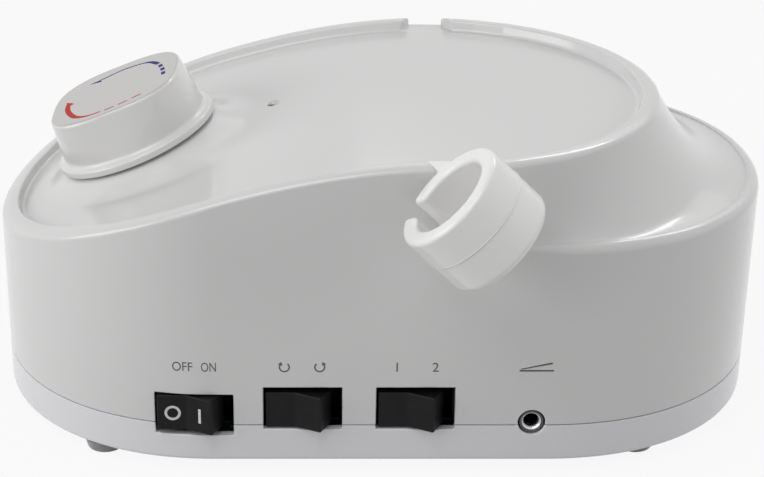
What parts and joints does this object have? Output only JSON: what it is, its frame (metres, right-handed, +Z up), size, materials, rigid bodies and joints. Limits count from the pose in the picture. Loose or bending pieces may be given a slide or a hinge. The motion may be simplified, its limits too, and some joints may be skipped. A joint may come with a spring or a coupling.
{
  "type": "dental lab micromotor control unit",
  "caption": "White bench control unit for a dental lab handpiece: tray-like top, leaning speed knob, rocker switches, foot pedal jack and slotted handpiece holder.",
  "frame": {"origin": "middle of the unit's outline at the height that its feet stand on", "axes": "+X to the right along the front wall, +Y from the front to the back, +Z up"},
  "size_m": [0.2176, 0.1656, 0.0995],
  "materials": {
    "white_shell": "gloss",
    "base_white": "gloss",
    "holder_white": "gloss",
    "knob_white": "gloss",
    "switch_black": "fine matt",
    "foot_rubber": "matt",
    "bright_steel": "plated",
    "brass": "turned",
    "black_moulding": "matt",
    "lamp_lens": "clear",
    "board_green": "solder mask",
    "core_grey": "varnished laminations",
    "coil_tape": "tape",
    "aluminium": "extruded",
    "can_blue": "sleeved can",
    "relay_blue": "satin",
    "fuse_glass": "clear"
  },
  "bodies": {
    "control_unit": {"base_tray": "base_white", "board_screw_front_left": "bright_steel", "board_screw_front_right": "bright_steel", "board_screw_rear_left": "bright_steel", "board_screw_rear_right": "bright_steel", "capacitor_left": "can_blue", "capacitor_right": "can_blue", "case_screw_front_left": "bright_steel", "case_screw_front_right": "bright_steel", "case_screw_rear_left": "bright_steel", "case_screw_rear_right": "bright_steel", "control_board": "board_green", "foot_front_left": "foot_rubber", "foot_front_right": "foot_rubber", "foot_rear_left": "foot_rubber", "foot_rear_right": "foot_rubber", "heatsink": "aluminium", "indicator_lamp": "black_moulding", "indicator_lens": "lamp_lens", "inlet_blade_earth": "brass", "inlet_blade_line": "brass", "inlet_blade_neutral": "brass", "inlet_screw_left": "bright_steel", "inlet_screw_right": "bright_steel", "jack_body": "black_moulding", "jack_bush": "bright_steel", "mains_inlet": "black_moulding", "outlet_insert": "black_moulding", "outlet_nut": "bright_steel", "outlet_shell": "bright_steel", "pot_body": "bright_steel", "pot_bush": "brass", "pot_nut": "bright_steel", "power_transistor": "black_moulding", "relay": "relay_blue", "switch_body_control": "switch_black", "switch_body_direction": "switch_black", "switch_body_power": "switch_black", "transformer_core": "core_grey", "transformer_screw_left": "bright_steel", "transformer_screw_right": "bright_steel", "transformer_strap": "bright_steel", "transformer_winding": "coil_tape", "transistor_screw": "bright_steel", "upper_housing": "white_shell"},
    "power_rocker": {"rocker_power": "switch_black"},
    "direction_rocker": {"rocker_direction": "switch_black"},
    "control_rocker": {"rocker_control": "switch_black"},
    "knob": {"speed_knob": "knob_white", "knob_insert": "brass", "pot_shaft": "bright_steel"},
    "holder": {"handpiece_holder": "holder_white"},
    "drawer": {"fuse_drawer": "black_moulding", "fuse": "fuse_glass"}
  },
  "joints": [
    {"name": "power_rocker_tilt", "type": "hinge", "parent": "control_unit", "child": "power_rocker", "pos_m": [-0.05095, -0.04065, 0.0181], "axis": [0, 0, 1], "range_deg": [0, 27]},
    {"name": "direction_rocker_tilt", "type": "hinge", "parent": "control_unit", "child": "direction_rocker", "pos_m": [-0.02175, -0.04065, 0.019], "axis": [0, 0, 1], "range_deg": [0, 27]},
    {"name": "control_rocker_tilt", "type": "hinge", "parent": "control_unit", "child": "control_rocker", "pos_m": [0.00855, -0.04065, 0.019], "axis": [0, 0, 1], "range_deg": [0, 27]},
    {"name": "speed_knob_turn", "type": "hinge", "parent": "control_unit", "child": "knob", "pos_m": [-0.06925, 0.01425, 0.073], "axis": [-0.3746, 0, 0.9272], "range_deg": [-140, 140]},
    {"name": "holder_lift", "type": "slide", "parent": "control_unit", "child": "holder", "axis": [0, 0, 1], "range_m": [0, 0.01]},
    {"name": "fuse_drawer_pull", "type": "slide", "parent": "control_unit", "child": "drawer", "axis": [0, 1, 0], "range_m": [0, 0.012]}
  ]
}
